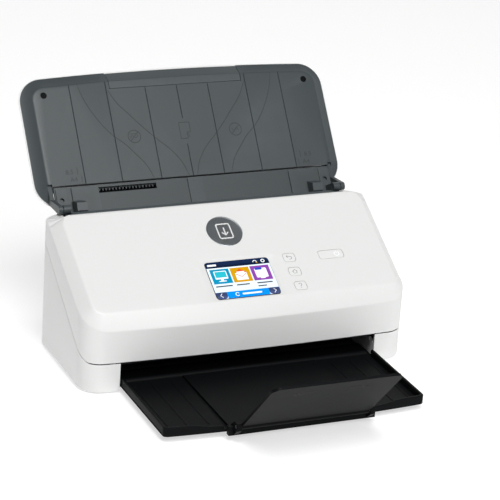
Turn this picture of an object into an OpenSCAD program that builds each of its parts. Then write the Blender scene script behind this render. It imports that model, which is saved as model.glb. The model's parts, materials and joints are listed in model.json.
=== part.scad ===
// Compact sheet fed document scanner with a folding input tray and a sliding output tray.
// Y runs from the front to the back, Z up from the desk, X to the right of somebody facing it.

/* [Housing] */
// Width of the housing
body_w = 302; // [298:1:306]
// Wall of the white shells
wall = 2.5; // [2:0.1:3]
// Sagitta of the bowed front over 300 mm
bow = 4; // [3:0.5:5]
// Radius of the housing's upright corners
corner_r = 20; // [16:1:22]
// Depth of the two side pods
pod_depth = 130; // [129:1:131]
// Depth of the middle of the housing
body_depth = 168; // [166:1:170]

/* [Front cover] */
// Height of the cover's lower front edge
cover_z = 28; // [27.8:0.1:28.2]
// Height of the upright front band's upper edge
band_top = 55.8; // [54:0.2:57]
// Distance of the control panel's lower edge behind the front
panel_y = 9.5; // [9:0.1:10]
// Height of the control panel's lower edge
panel_z = 71; // [70:0.2:72]
// Slope of the control panel
panel_angle = 29.8; // [29:0.1:30.5]
// Length of the control panel along its slope
panel_len = 107; // [106:0.5:108]
// Width of the bevel down each side of the panel
bevel_w = 9.6; // [8:0.2:11]
// Depth of that bevel, square to the panel
bevel_drop = 8.7; // [7:0.1:9.5]

/* [Input tray] */
// Distance of the tray floor's lower edge behind the front
tray_y = 149.9; // [149.5:0.1:150.3]
// Height of the tray floor's lower edge
tray_z = 133.9; // [133.5:0.1:134.3]
// Lean of the open tray from the upright
tray_lean = 37.4; // [37:0.1:38]
// Length of the tray's floor up to its outer edge
tray_len = 105.2; // [104:0.2:106]
// Half of the tray's width
tray_half = 147; // [146:0.5:147.5]
// How far the tray turns from open to closed
tray_fold = 157.5; // [150:0.5:158]

/* [Output tray] */
// Reach of the output tray's corners in front of the housing
out_reach = 97; // [94:1:100]
// Half of the output tray's width
out_half = 118; // [116:0.5:118.4]
// Height of the paper stop above its hinge line, along its face
stop_len = 79; // [74:1:82]
// Lean of the open paper stop from the upright
stop_lean = 43.7; // [40:0.1:48]

/* [Controls] */
// Across the keys beside the display
key_w = 11; // [10:0.5:12]
// Height of the keys beside the display
key_h = 9; // [8:0.5:10]
// Across the power button
power_w = 23.5; // [22:0.5:25]
// Gap round each moving key
key_gap = 0.3; // [0.25:0.05:0.4]
// Diameter of the round emblem
emblem_d = 33; // [30:1:35]

/* [Hidden] */

$fn = 48;
eps = 0.01;
big = 400;
half_w = body_w / 2;
base_z = 2.5;
floor_z = 4.5;

// The object's origin is under the middle of its box: the paper stop's tip and the input
// tray's upper edge are its front and its back.
stop_y = -112.5;
stop_z = 14.6;
shell_back = 13;
shell_lip = 1;
edge_h = -7.4;
y_low = stop_y - stop_len * sin(stop_lean) - 1.2 * cos(stop_lean);
y_high = tray_y + (tray_len + shell_lip) * sin(tray_lean) - edge_h * cos(tray_lean);
front_y = -(y_low + y_high) / 2;

// Feed path: a plane that rises to the back, with the bed under it and the liner over it
path_angle = 34;
path_z = 15;
path_gap = 2.4;
bed_t = 2.4;
bed_from = 14;
bed_to = 146;
seam_low = 4.8;
seam_high = 5.2;

// Cover hinge and panel
hinge_y = 8;
hinge_z = 30.2;
panel_top_y = panel_y + panel_len * cos(panel_angle);
panel_top_z = panel_z + panel_len * sin(panel_angle);
rim_y = 106;
deck_z = 118.5;
deck_back_z = 116.4;
throat_half = 133;
leg_x = 119;

// Input tray's pivot, seen from the tray's own floor
pivot_s = -25.9;
pivot_h = 14.66;
ramp_half = 132.6;
ramp_low = -45.5;

// Roller centres in the path's frame, and their radii
pick_at = [122, -9.8];
pick_r = 11;
feed_at = [88, -7.8];
feed_r = 9;
exit_at = [30, -5.8];
exit_r = 7;
nip = 1.5;
sep_r = 9;
pinch_r = 5;
exit_pinch_r = 4.5;
shaft_r = 3;
run = 0.05;
motor_y = 105;
motor_z = 44;
motor_pulley_r = 6;
pulley_share = 2 / 3;
frame_x = 126;

// Guide pinion and racks
pinion_r = 16;
pinion_teeth = 32;
pinion_s = -22;
tooth = PI * 2 * pinion_r / pinion_teeth;

// Small shared moves
module at_front() translate([0, front_y, 0]) children();
module both_sides() {
  children();
  mirror([1, 0, 0]) children();
}
module across(x0, x1) translate([x0, 0, 0]) rotate([90, 0, 90]) linear_extrude(x1 - x0) children();
module on_panel() at_front() translate([0, panel_y, panel_z]) rotate([panel_angle, 0, 0]) children();
module on_path() at_front() translate([0, 0, path_z]) rotate([path_angle, 0, 0]) children();
module on_tray() at_front() translate([0, tray_y, tray_z]) rotate([90 - tray_lean, 0, 0]) children();
module block(low, high) translate(low) cube(high - low);
module rod(x0, x1, r) translate([x0, 0, 0]) rotate([0, 90, 0]) cylinder(r = r, h = x1 - x0);
module round_plate(w, h, r, t) linear_extrude(t) round_rect(w, h, r);
module round_rect(w, h, r) {
  square([w - 2 * r, h], center = true);
  square([w, h - 2 * r], center = true);
  for (x = [-1, 1], y = [-1, 1]) translate([x * (w / 2 - r), y * (h / 2 - r)]) circle(r = r);
}

// A polygon moved inwards by g: each corner goes along its mitre
function unit(v) = v / norm(v);
function left_of(v) = [-v.y, v.x];
function inset(p, g) = [for (i = [0:len(p) - 1])
  let (a = p[(i + len(p) - 1) % len(p)], b = p[i], c = p[(i + 1) % len(p)],
    n1 = left_of(unit(b - a)), n2 = left_of(unit(c - b)))
  b + g * (n1 + n2) / (1 + n1 * n2)];
function bow_y(x) = bow * pow(x / 150, 2);
function arc(cx, cy, r, a0, a1, n) = [for (i = [0:n])
  let (a = a0 + (a1 - a0) * i / n) [cx + r * cos(a), cy + r * sin(a)]];

// Plan of the housing, g inside its outer face: bowed front and four round corners
function plan(g) = let (cx = half_w - corner_r, cy = bow_y(cx) + corner_r, r = corner_r - g)
  concat([for (i = [0:12]) let (x = cx * (i / 6 - 1)) [x, bow_y(x) + g]],
    arc(cx, cy, r, -90, 0, 6), arc(cx, pod_depth - corner_r, r, 0, 90, 6),
    arc(-cx, pod_depth - corner_r, r, 90, 180, 6), arc(-cx, cy, r, 180, 270, 6));
function seam(y, lift) = path_z + lift / cos(path_angle) + y * tan(path_angle);

// Side outlines, front to back
cover_side = [[0, cover_z], [(cover_z - seam(0, seam_high)) / tan(path_angle), cover_z],
  [pod_depth, seam(pod_depth, seam_high)], [pod_depth, deck_back_z - 2], [pod_depth - 2, deck_back_z],
  [112, deck_z], [rim_y + 1, panel_top_z - 1.5], [rim_y - 1, panel_top_z - 0.3],
  [panel_top_y, panel_top_z], [panel_y, panel_z], [0, band_top]];
base_side = [[0, base_z], [pod_depth, base_z], [pod_depth, seam(pod_depth, seam_low)],
  [9.5, seam(9.5, seam_low)], [5.5, 24.2], [2.4, 26.9], [0, 27.2]];
rear_side = [[pod_depth, base_z], [body_depth - 6, base_z], [body_depth, base_z + 6],
  [body_depth, 100], [159.4, 117], [159.2, 125.3], [155.2, 128.3], [153.8, 126.5],
  [157.2, 121.6], [133.2, 90.1], [pod_depth, 88]];

module housing(side, g) intersection() {
  across(-half_w + g, half_w - g) polygon(inset(side, g));
  linear_extrude(big) polygon(plan(g));
}
module bevel_cut(g) both_sides() translate([half_w - bevel_w, panel_y, panel_z])
  rotate([panel_angle, 0, 0]) translate([0, -60, 0]) rotate([-90, 0, 0]) mirror([0, 1, 0])
  linear_extrude(230) polygon(inset([[-0.02, 0], [2 * bevel_w, -2 * bevel_drop],
    [4 * bevel_w, 40], [-0.02, 40]], -g));
module cover_solid(g) difference() {
  housing(cover_side, g);
  bevel_cut(g);
}

// ---- Base ----

// White lower housing: two legs, side pods and the walls of the output opening
module base_shell() color("white") at_front() difference() {
  union() {
    difference() {
      housing(base_side, 0);
      translate([0, 0, -wall]) linear_extrude(big) polygon(plan(wall));
    }
    across(leg_x, leg_x + wall) leg_wall();
    across(-leg_x - wall, -leg_x) leg_wall();
    both_sides() hinge_ear();
  }
  block([-leg_x, -1, -1], [leg_x, 20, 60]);
  block([-leg_x - 0.5, 100, -1], [leg_x + 0.5, pod_depth + 1, big]);
  block([-throat_half - 0.2, 119, 103], [throat_half + 0.2, pod_depth + 1, big]);
  both_sides() translate([0, hinge_y, hinge_z]) rod(100, 127, 1.5 + run);
}
module leg_wall() polygon([[bow_y(leg_x) + 0.5, floor_z], [60, floor_z], [60, 23.5],
  [19, 23.5], [11.5, 18.4], [bow_y(leg_x) + 0.5, 18.4]]);
module hinge_ear() {
  translate([0, hinge_y, hinge_z]) rod(leg_x + wall + 0.5, frame_x - 0.8, 2.6);
  block([leg_x + wall + 0.5, hinge_y + 1, floor_z], [frame_x - 0.8, hinge_y + 3.3, hinge_z - 1]);
  block([leg_x + wall - 0.5, hinge_y + 1, floor_z], [leg_x + wall + 1, hinge_y + 3.3, 18]);
}

// Dark bottom plate that closes the housing from below
module bottom_plate() color("dimgray") at_front() translate([0, 0, base_z])
  linear_extrude(floor_z - base_z) union() {
    difference() {
      polygon(plan(wall));
      translate([-leg_x, 0]) square([2 * leg_x, bow + wall + 2]);
    }
    translate([-leg_x - 0.5, 100]) square([2 * leg_x + 1, 62 - wall]);
  }

// Dark cover over the deep middle of the housing, with the three sockets' openings
module rear_cover() color("dimgray") at_front() difference() {
  across(-122, 122) polygon(rear_side);
  across(-leg_x - 0.5, leg_x + 0.5) polygon([[pod_depth - 1, -1], [body_depth - 6 - wall, -1],
    [body_depth - wall, base_z + 6], [body_depth - wall, 99.5], [156.2, 116],
    [134.2, 87.2], [pod_depth - 1, 84]]);
  both_sides() translate([122, body_depth, 0]) rotate([0, 0, 45]) block([-2, -2, -1], [2, 2, big]);
  socket_holes();
  for (i = [0:8]) block([40 + i * 6, body_depth - wall - 1, 70], [43 + i * 6, body_depth + 1, 92]);
}
module socket_holes() {
  translate([-70, 0, 34]) rotate([-90, 0, 0]) cylinder(r = 5.5, h = big);
  block([-44, 140, 28], [-32, big, 39]);
  block([-14, 140, 28], [2, big, 42]);
}

// Slate ramp under the input tray: guide slots, side rails and the ears of the tray's hinge
module paper_ramp() color("slategray") on_tray() difference() {
  union() {
    block([-leg_x + 0.2, ramp_low, -2.5], [leg_x - 0.2, -1.5, 0]);
    block([-ramp_half, -36, -2.5], [ramp_half, -1.5, 0]);
    block([-7, ramp_low + 12, 0], [7, -1.8, 1.2]);
    both_sides() block([122, ramp_low + 12, 0], [131.5, -3.5, 1]);
    both_sides() block([116, ramp_low, -12], [118.4, -6, -2.5]);
    both_sides() tray_ear();
  }
  both_sides() translate([0, pivot_s, pivot_h]) rod(120, 140, 2.5 + run);
  both_sides() translate([127, -13.6, -1.2]) cylinder(r = 2, h = 20);
  block([-107, -9, -4], [-37, -4, 1]);
  block([37, -40.5, -4], [107, -35.5, 1]);
}
module tray_ear() {
  translate([0, pivot_s, pivot_h]) rod(126, ramp_half, 3.9);
  across(126, ramp_half) polygon([[-32, -0.5], [-20, -0.5], [-22.3, pivot_h], [-29.5, pivot_h]]);
}

// Feed bed: the lower face of the paper path, with openings for the rollers and the glass
module feed_bed() color("darkslategray") on_path() difference() {
  block([-ramp_half + 0.2, bed_from, -bed_t], [ramp_half - 0.2, bed_to, 0]);
  block([-112, 50, -10], [112, 68, 10]);
  roller_slots(pick_at, pick_r, [-18, 18], 17);
  roller_slots(feed_at, feed_r, [-75, -25, 25, 75], 17);
  roller_slots(exit_at, exit_r, [-75, -25, 25, 75], 17);
  for (at = [pick_at, feed_at, exit_at]) both_sides()
    block([frame_x - 0.2, at.x - 5.8, -10], [frame_x + 2.2, at.x + 5.8, 10]);
}
module roller_slots(at, r, xs, w) for (x = xs)
  block([x - w / 2, at.x - r - 0.6, -10], [x + w / 2, at.x + r + 0.6, 10]);

// Steel side frames that carry the three driven shafts and the motor
module side_frames() color("silver") at_front() difference() {
  both_sides() across(frame_x, frame_x + 2) polygon([[15, floor_z], [122, floor_z],
    [122, seam(122, -bed_t) - 0.1], [15, seam(15, -bed_t) - 0.1]]);
  for (at = [pick_at, feed_at, exit_at]) path_point(at) rod(-big, big, 5);
  translate([0, motor_y, motor_z]) rod(-big, big, 8);
}
module path_point(at) translate([0, 0, path_z]) rotate([path_angle, 0, 0])
  translate([0, at.x, at.y]) rotate([-path_angle, 0, 0]) children();
module shaft_bushes() color("goldenrod") at_front() for (at = [pick_at, feed_at, exit_at])
  path_point(at) both_sides() difference() {
    rod(frame_x, frame_x + 2, 5);
    rod(frame_x - 1, frame_x + 3, shaft_r + run);
  }

// Two image sensor bars with their glasses, on both sides of the paper
module lower_scan_bar() color("black") on_path() block([-112, 52, -15], [112, 66, -1.4]);
module lower_scan_glass() color("lightcyan") on_path() block([-112, 50, -1.4], [112, 68, 0]);
module upper_scan_bar() color("black") on_path()
  block([-112, 56, path_gap + 1.4], [112, 70, path_gap + 14]);
module upper_scan_glass() color("lightcyan") on_path()
  block([-112, 54, path_gap], [112, 72, path_gap + 1.4]);

// Electronics and sockets
module main_board() color("green") at_front() block([-90, 152, 24], [90, 153.6, 96]);
module power_inlet() color("black") at_front() difference() {
  translate([-70, 153.6, 34]) rotate([-90, 0, 0]) cylinder(r = 5.5, h = body_depth - 153.6);
  translate([-70, 156, 34]) rotate([-90, 0, 0]) cylinder(r = 3.2, h = 20);
}
module port(x0, x1, z1) difference() {
  block([x0, 153.6, 28], [x1, body_depth, z1]);
  block([x0 + 1.2, 158, 29.2], [x1 - 1.2, body_depth + 1, z1 - 1.2]);
}
module usb_port() color("silver") at_front() port(-44, -32, 39);
module network_port() color("silver") at_front() port(-14, 2, 42);

// Motor on the right-hand frame, and the belt that joins the four pulleys
module drive_motor() color("gray") at_front() translate([0, motor_y, motor_z]) difference() {
  rod(88, frame_x, 14);
  rod(110, frame_x + 1, 1.5 + run);
}
driven = [[pick_at, pick_r], [feed_at, feed_r], [exit_at, exit_r]];
module belt_loop(x0, x1, off) hull() {
  for (d = driven) path_point(d[0]) rod(x0, x1, d[1] * pulley_share + off);
  translate([0, motor_y, motor_z]) rod(x0, x1, motor_pulley_r + off);
}
module drive_belt() color("black") at_front() difference() {
  belt_loop(134.9, 138.1, 1.5);
  belt_loop(134, 139, 0.3);
}

// Feet, screws and the cover's hinge pins
foot_at = [[128, 24], [108, 150]];
module rubber_feet() color("black") at_front() for (p = foot_at, s = [-1, 1])
  translate([s * p.x, p.y, 0]) cylinder(r = 8, h = base_z);
screw_at = [[136, 60], [136, 110], [60, 156]];
module base_screws() color("silver") at_front() for (p = screw_at, s = [-1, 1])
  translate([s * p.x, p.y, base_z - 1]) cylinder(r = 3, h = 1);
module cover_hinge_pins() color("silver") at_front() both_sides()
  translate([0, hinge_y, hinge_z]) rod(leg_x + wall + 0.6, 131.5, 1.5);

// ---- Front cover ----

// White cover: upright band, chamfer, sloped panel with side bevels, and rear decks
module cover_shell() color("white") difference() {
  at_front() difference() {
    cover_solid(0);
    cover_solid(wall);
    translate([0, 0, -2 * wall]) cover_solid(wall);
  }
  cover_windows();
}
module cover_windows() {
  at_front() block([-throat_half, rim_y, 0], [throat_half, big, big]);
  at_front() block([67.4, 103.1, 108], [114, big, big]);
  on_panel() block([-30.1, 2.1, -5], [30.1, 42.9, 5]);
  on_panel() block([-35.2, 2.1, -0.8], [35.2, 45.2, 5]);
  for (s = key_rows) on_panel() translate([key_x, s, -5])
    round_plate(key_w + 2 * key_gap, key_h + 2 * key_gap, 2.5 + key_gap, 10);
  on_panel() translate([power_x, key_rows[0] - 0.7, -5])
    round_plate(power_w + 2 * key_gap, key_h + 2 * key_gap, 2.5 + key_gap, 10);
}

// Slate liner: the throat's front wall and the upper face of the paper path
liner_from = 18;
liner_to = 138;
liner_t = 2;
function path_yz(y, z) = [y * cos(path_angle) - z * sin(path_angle),
  path_z + y * sin(path_angle) + z * cos(path_angle)];
module cover_liner() color("slategray") difference() {
  at_front() across(-throat_half + 0.4, throat_half - 0.4) polygon([path_yz(liner_from, path_gap),
    path_yz(liner_to, path_gap), [124, 118.2], [rim_y + 0.1, 122.3], [rim_y + 0.1, 119.8],
    [120.6, 116.2], path_yz(liner_to - 3, path_gap + liner_t),
    path_yz(liner_from, path_gap + liner_t)]);
  at_front() both_sides() block([125.4, 115.5, 100], [throat_half + 1, 130, 130]);
  on_path() block([-112, 54, 0], [112, 72, 20]);
  on_path() roller_slots([pick_at.x, 0], sep_r, [-18, 18], 15);
  on_path() roller_slots([feed_at.x, 0], pinch_r, [-75, -25, 25, 75], 15);
  on_path() roller_slots([exit_at.x, 0], exit_pinch_r, [-75, -25, 25, 75], 15);
}

// Controls
key_x = 49.7;
key_rows = [39.5, 23.8, 8.2];
power_x = 89.7;
cap_top = 0.2;
module key(x, s, w) on_panel() translate([x, s, 0]) {
  translate([0, 0, -3.6]) round_plate(w, key_h, 2.5, 3.6 + cap_top);
  translate([0, 0, -4.6]) round_plate(w + 2.4, key_h + 2.4, 2.5, 1);
}
module back_key() color("whitesmoke") key(key_x, key_rows[0], key_w);
module home_key() color("whitesmoke") key(key_x, key_rows[1], key_w);
module help_key() color("whitesmoke") key(key_x, key_rows[2], key_w);
module power_button() color("whitesmoke") key(power_x, key_rows[0] - 0.7, power_w);
module display_glass() color("midnightblue") on_panel() block([-29.8, 2.4, -1.2], [29.8, 42.6, -0.3]);
module display_panel() color("black") on_panel() block([-29.8, 2.4, -4.5], [29.8, 42.6, -1.2]);
module emblem() color("silver") on_panel() translate([0, 74.8, 0]) cylinder(d = emblem_d, h = 0.5);
module control_board() color("green") on_panel() block([-34, 1, -8.6], [104, 50, -7]);
module cover_latch() color("white") at_front()
  block([67.8, 103.5, 110], [113.6, rim_y - 0.6, panel_top_z - 0.4]);

// ---- Input tray ----

module tray_outline(g, n = 8) let (r = 22 - g, cx = tray_half - 22, top = tray_len - 22 - 3,
    foot = -17 + 22) polygon(concat(arc(cx, top, r, 0, 90, n),
    [for (i = [1:11]) let (x = cx * (1 - i / 6)) [x, top + r + 3 * (1 - pow(x / cx, 2))]],
    arc(-cx, top, r, 90, 180, n), arc(-cx, foot, r, 180, 270, n), arc(cx, foot, r, 270, 360, n)));
module tray_slab(g0, h0, g1, h1) hull() {
  translate([0, 0, h0]) linear_extrude(eps) tray_outline(g0);
  translate([0, 0, h1 - eps]) linear_extrude(eps) tray_outline(g1);
}
module ramp_notch() {
  block([-ramp_half - 0.4, -60, -30], [ramp_half + 0.4, 0, 30]);
  both_sides() block([ramp_half + 0.6, -60, -7.3], [ramp_half + 4.6, 2, 30]);
}
// Slate front skin: a flat floor with bevelled edges, hollow behind
module tray_plate() color("slategray") on_tray() difference() {
  tray_slab(0, edge_h, 10.5, 0);
  tray_slab(3, edge_h - 1, 13, -2.5);
  ramp_notch();
  block([-64.3, 86.7, -20], [64.3, 150, 10]);
  both_sides() translate([126.5, 84.3, -1.5]) cylinder(r = 3, h = 5);
}
module tray_back_shell() color("white") on_tray() difference() {
  tray_slab(9, -shell_back, -shell_lip, edge_h);
  ramp_notch();
}
module tray_screw_caps() color("black") on_tray() both_sides()
  translate([126.5, 84.3, -1.5]) cylinder(r = 3, h = 1);
module tray_hinge_arms() color("darkslategray") on_tray() both_sides() {
  translate([0, pivot_s, pivot_h]) rod(ramp_half + 0.7, ramp_half + 4.5, 3.7);
  translate([0, pivot_s, pivot_h]) rod(126.2, ramp_half + 1, 2.5);
  across(ramp_half + 0.7, ramp_half + 4.5) polygon([[-14, edge_h + 0.1], [1.9, edge_h + 0.1],
    [1.9, -2.7], [-12, -0.6], [pivot_s + 2.9, pivot_h + 2.1], [pivot_s - 2.6, pivot_h - 2.4]]);
}
module tray_extension() color("slategray") on_tray() {
  intersection() {
    tray_slab(0, edge_h, 10.5, 0);
    block([-64, 87, edge_h + 0.4], [64, 150, 10]);
  }
  block([-58, 22, -6.6], [58, 88, -3.4]);
}

// ---- Paper guides ----

// One tooth row of a rack that meets the pinion, teeth towards -Y
module rack(x0, x1) {
  block([x0, 1.3, -6.5], [x1, 4, -3.1]);
  for (i = [ceil((x0 + 1) / tooth):floor((x1 - 1) / tooth)]) translate([(i + 0.5) * tooth, 0, -6.5])
    linear_extrude(3.4) polygon([[-0.95, 1.4], [-0.35, -0.7], [0.35, -0.7], [0.95, 1.4]]);
}
module guide() {
  block([-117, ramp_low + 3, 0.3], [-92, -3, 1.5]);
  across(-118, -108.3) polygon([[-44, 1.5], [-44, 5], [-30, 7], [-27, 11.5], [-20, 12.5], [-15, 1.5]]);
}
module left_guide() color("slategray") on_tray() {
  guide();
  block([-105, -8.4, -3.2], [-96, -4.6, 0.4]);
  translate([0, pinion_s + pinion_r - 0.3 + 0.6, 0]) rack(-106, 12);
}
module right_guide() color("slategray") on_tray() {
  mirror([1, 0, 0]) guide();
  block([96, -40.1, -3.2], [105, -36, 0.4]);
  translate([0, pinion_s, 0]) rotate([0, 0, 180]) translate([0, pinion_r + 0.3, 0]) rack(-106, 12);
}
module guide_pinion() color("ivory") on_tray() translate([0, pinion_s, -6.5]) linear_extrude(3.4)
  union() {
    circle(r = pinion_r - 1.3);
    for (i = [0:pinion_teeth - 1]) rotate(i * 360 / pinion_teeth) translate([0, pinion_r])
      polygon([[-0.95, -1.5], [0.95, -1.5], [0.35, 0.7], [-0.35, 0.7]]);
  }

// ---- Output tray ----

tray_low = 5;
tray_t = 2.5;
function out_front(x) = -out_reach - 5 * (1 - pow(x / out_half, 2));
module out_plan(g) polygon(concat([for (i = [0:12]) let (x = (out_half - g) * (i / 6 - 1))
  [x, out_front(x) + g]], [[out_half - g, 30], [-out_half + g, 30]]));
module output_tray() color("black") at_front() difference() {
  union() {
    translate([0, 0, tray_low]) linear_extrude(tray_t) out_plan(0);
    translate([0, 0, tray_low]) linear_extrude(8.5) difference() {
      out_plan(0);
      out_plan(2.6);
      translate([-200, 1]) square([400, 60]);
    }
    block([-113, 3, tray_low], [113, 9, tray_low + 5.5]);
  }
  block([-67, -120, tray_low + tray_t], [67, -95, 20]);
  block([-67, -120, 0], [67, -103.5, 20]);
}
module output_extension() color("black") at_front() {
  block([-62, -104, tray_low + tray_t + 0.3], [62, 2.5, tray_low + tray_t + 2]);
  block([-66, -108.5, tray_low], [66, -103.9, 12.8]);
  both_sides() difference() {
    across(58, 62) polygon([[-116, 12], [-108, 5.2], [-100, 9], [-100, 10.6], [-109, 18],
      [-115, 18]]);
    translate([0, stop_y, stop_z]) rod(50, 70, 1.5);
  }
}
module stop_hinge_pins() color("silver") at_front() both_sides()
  translate([0, stop_y, stop_z]) rod(50, 62, 1.5);
module paper_stop() color("dimgray") at_front() translate([0, stop_y, stop_z]) difference() {
  union() {
    rod(-57.3, 57.3, 2.6);
    rotate([stop_lean, 0, 0]) translate([0, -1.2, stop_len / 2]) rotate([-90, 0, 0])
      round_plate(114.6, stop_len, 8, 2.4);
    rotate([stop_lean, 0, 0]) block([-57.3, -1.2, 0], [57.3, 1.2, 12]);
  }
  both_sides() rod(49, 60, 1.5 + run);
}

// ---- Drive ----

module shaft(at) color("silver") at_front() path_point(at) rod(-132, 142, shaft_r);
module tyres(at, r, xs, w) color("dimgray") at_front() path_point(at) for (x = xs) difference() {
  rod(x - w / 2, x + w / 2, r);
  rod(x - w, x + w, shaft_r);
}
module pulley(r) {
  rod(134.5, 138.5, r);
  rod(133.7, 134.5, r + 2.2);
  rod(138.5, 139.3, r + 2.2);
}
module shaft_pulley(at, r) color("ivory") at_front() path_point(at) difference() {
  pulley(r * pulley_share);
  rod(130, 142, shaft_r);
}
wide = [-75, -25, 25, 75];
module pick_shaft() shaft(pick_at);
module pick_tyres() tyres(pick_at, pick_r, [-18, 18], 14);
module pick_pulley() shaft_pulley(pick_at, pick_r);
module feed_shaft() shaft(feed_at);
module feed_tyres() tyres(feed_at, feed_r, wide, 14);
module feed_pulley() shaft_pulley(feed_at, feed_r);
module exit_shaft() shaft(exit_at);
module exit_tyres() tyres(exit_at, exit_r, wide, 14);
module exit_pulley() shaft_pulley(exit_at, exit_r);
module motor_pulley() color("ivory") at_front() translate([0, motor_y, motor_z]) {
  pulley(motor_pulley_r);
  rod(111, 134, 1.5);
}
module idler(at, r, xs) color("dimgray") at_front() path_point([at.x, nip + r]) for (x = xs)
  rod(x - 6, x + 6, r);
module separation_roller() {
  idler(pick_at, sep_r, [-18, 18]);
  color("silver") at_front() path_point([pick_at.x, nip + sep_r]) rod(-12, 12, 2);
}
module pinch_shaft(at, r) {
  idler(at, r, wide);
  color("silver") at_front() path_point([at.x, nip + r]) for (x = [-50, 0, 50]) rod(x - 19, x + 19, 1.5);
}
module pinch_rollers() pinch_shaft(feed_at, pinch_r);
module exit_pinch_rollers() pinch_shaft(exit_at, exit_pinch_r);

base_shell();
bottom_plate();
rear_cover();
paper_ramp();
feed_bed();
side_frames();
shaft_bushes();
lower_scan_bar();
lower_scan_glass();
main_board();
power_inlet();
usb_port();
network_port();
drive_motor();
drive_belt();
rubber_feet();
base_screws();
cover_hinge_pins();
cover_shell();
cover_liner();
display_panel();
display_glass();
emblem();
control_board();
upper_scan_bar();
upper_scan_glass();
back_key();
home_key();
help_key();
power_button();
cover_latch();
tray_plate();
tray_back_shell();
tray_hinge_arms();
tray_screw_caps();
tray_extension();
left_guide();
right_guide();
guide_pinion();
output_tray();
output_extension();
paper_stop();
stop_hinge_pins();
motor_pulley();
pick_shaft();
pick_tyres();
pick_pulley();
feed_shaft();
feed_tyres();
feed_pulley();
exit_shaft();
exit_tyres();
exit_pulley();
separation_roller();
pinch_rollers();
exit_pinch_rollers();
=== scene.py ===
import json
import math

import bmesh
import bpy
import numpy as np
from bpy.props import FloatProperty, FloatVectorProperty, PointerProperty
from mathutils import Matrix, Vector


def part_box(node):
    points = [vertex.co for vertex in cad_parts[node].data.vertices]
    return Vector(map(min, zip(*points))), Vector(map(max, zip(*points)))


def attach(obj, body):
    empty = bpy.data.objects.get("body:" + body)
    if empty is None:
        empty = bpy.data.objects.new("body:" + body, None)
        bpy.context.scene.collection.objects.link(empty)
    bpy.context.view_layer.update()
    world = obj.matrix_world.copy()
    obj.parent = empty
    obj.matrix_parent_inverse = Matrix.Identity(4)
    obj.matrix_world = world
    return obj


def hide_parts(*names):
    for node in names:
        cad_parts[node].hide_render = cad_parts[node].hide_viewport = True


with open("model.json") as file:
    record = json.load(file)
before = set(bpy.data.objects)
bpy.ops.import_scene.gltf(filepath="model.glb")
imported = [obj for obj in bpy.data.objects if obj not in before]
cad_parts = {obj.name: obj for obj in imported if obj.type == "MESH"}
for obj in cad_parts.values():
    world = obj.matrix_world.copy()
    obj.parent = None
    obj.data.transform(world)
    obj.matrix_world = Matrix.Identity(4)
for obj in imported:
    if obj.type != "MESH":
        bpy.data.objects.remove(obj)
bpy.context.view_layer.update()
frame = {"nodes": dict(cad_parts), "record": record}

bl_info = {
    "name": "Sheet Fed Scanner",
    "version": (1, 0, 0),
    "blender": (4, 5, 0),
    "location": "3D View > Sidebar > Scanner",
    "description": "Builds the finished surfaces of a folding sheet fed document scanner",
    "category": "Object",
}

MM = 0.001

# Local frames: where each starts behind the front and above the desk, and its tilt, in mm and degrees
HINGE_Y = 8.0
HINGE_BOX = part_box("cover_hinge_pins")
FRONT_Y = (HINGE_BOX[0].y + HINGE_BOX[1].y) / 2 / MM - HINGE_Y
FRONT = (0.0, 0.0, 0.0)
PANEL = (9.5, 71.0, 29.8)
TRAY = (149.9, 133.9, 52.6)

# Sizes shared by several pieces, in mm
HALF_W = 151.0
CORNER_R = 20.0
CORNER_X = HALF_W - CORNER_R
POD_DEPTH = 130.0
POD_FROM = 106.0
THROAT_HALF = 133.0
BAND_TOP = 55.8
BEVEL_W = 9.6
LEG_X = 119.0
TRAY_HALF = 147.0
TRAY_LEN = 105.2
EDGE_H = -7.4
OUT_HALF = 118.0
OUT_REACH = 97.0
KEY_X = 49.7
KEY_ROWS = (39.5, 23.8, 8.2)
POWER_AT = (89.7, 38.8)
STOP_AT = (-112.5, 14.6, 43.7)


# ---- Places ----

def place(points, base=FRONT):
    """Local points in mm to the object's frame in metres: the second axis climbs at the base's tilt
    and the third is square to it."""
    back, up, tilt = base
    p = np.asarray(points, float)
    c, s = math.cos(math.radians(tilt)), math.sin(math.radians(tilt))
    out = np.empty_like(p)
    out[..., 0] = p[..., 0]
    out[..., 1] = FRONT_Y + back + c * p[..., 1] - s * p[..., 2]
    out[..., 2] = up + s * p[..., 1] + c * p[..., 2]
    return out * MM


def tilted(points, base):
    """Local points of a sloped frame to front frame millimetres."""
    return place(points, base) / MM - np.array([0.0, FRONT_Y, 0.0])


def bow_y(x):
    """Bowed front: the square of x, 4 mm back at 150 mm."""
    return 4.0 * (np.asarray(x, float) / 150.0) ** 2


def stack(*parts):
    """Columns of x, y and z as one array of points."""
    return np.stack(np.broadcast_arrays(*parts), axis=-1).astype(float)


# ---- Mesh building ----

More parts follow.
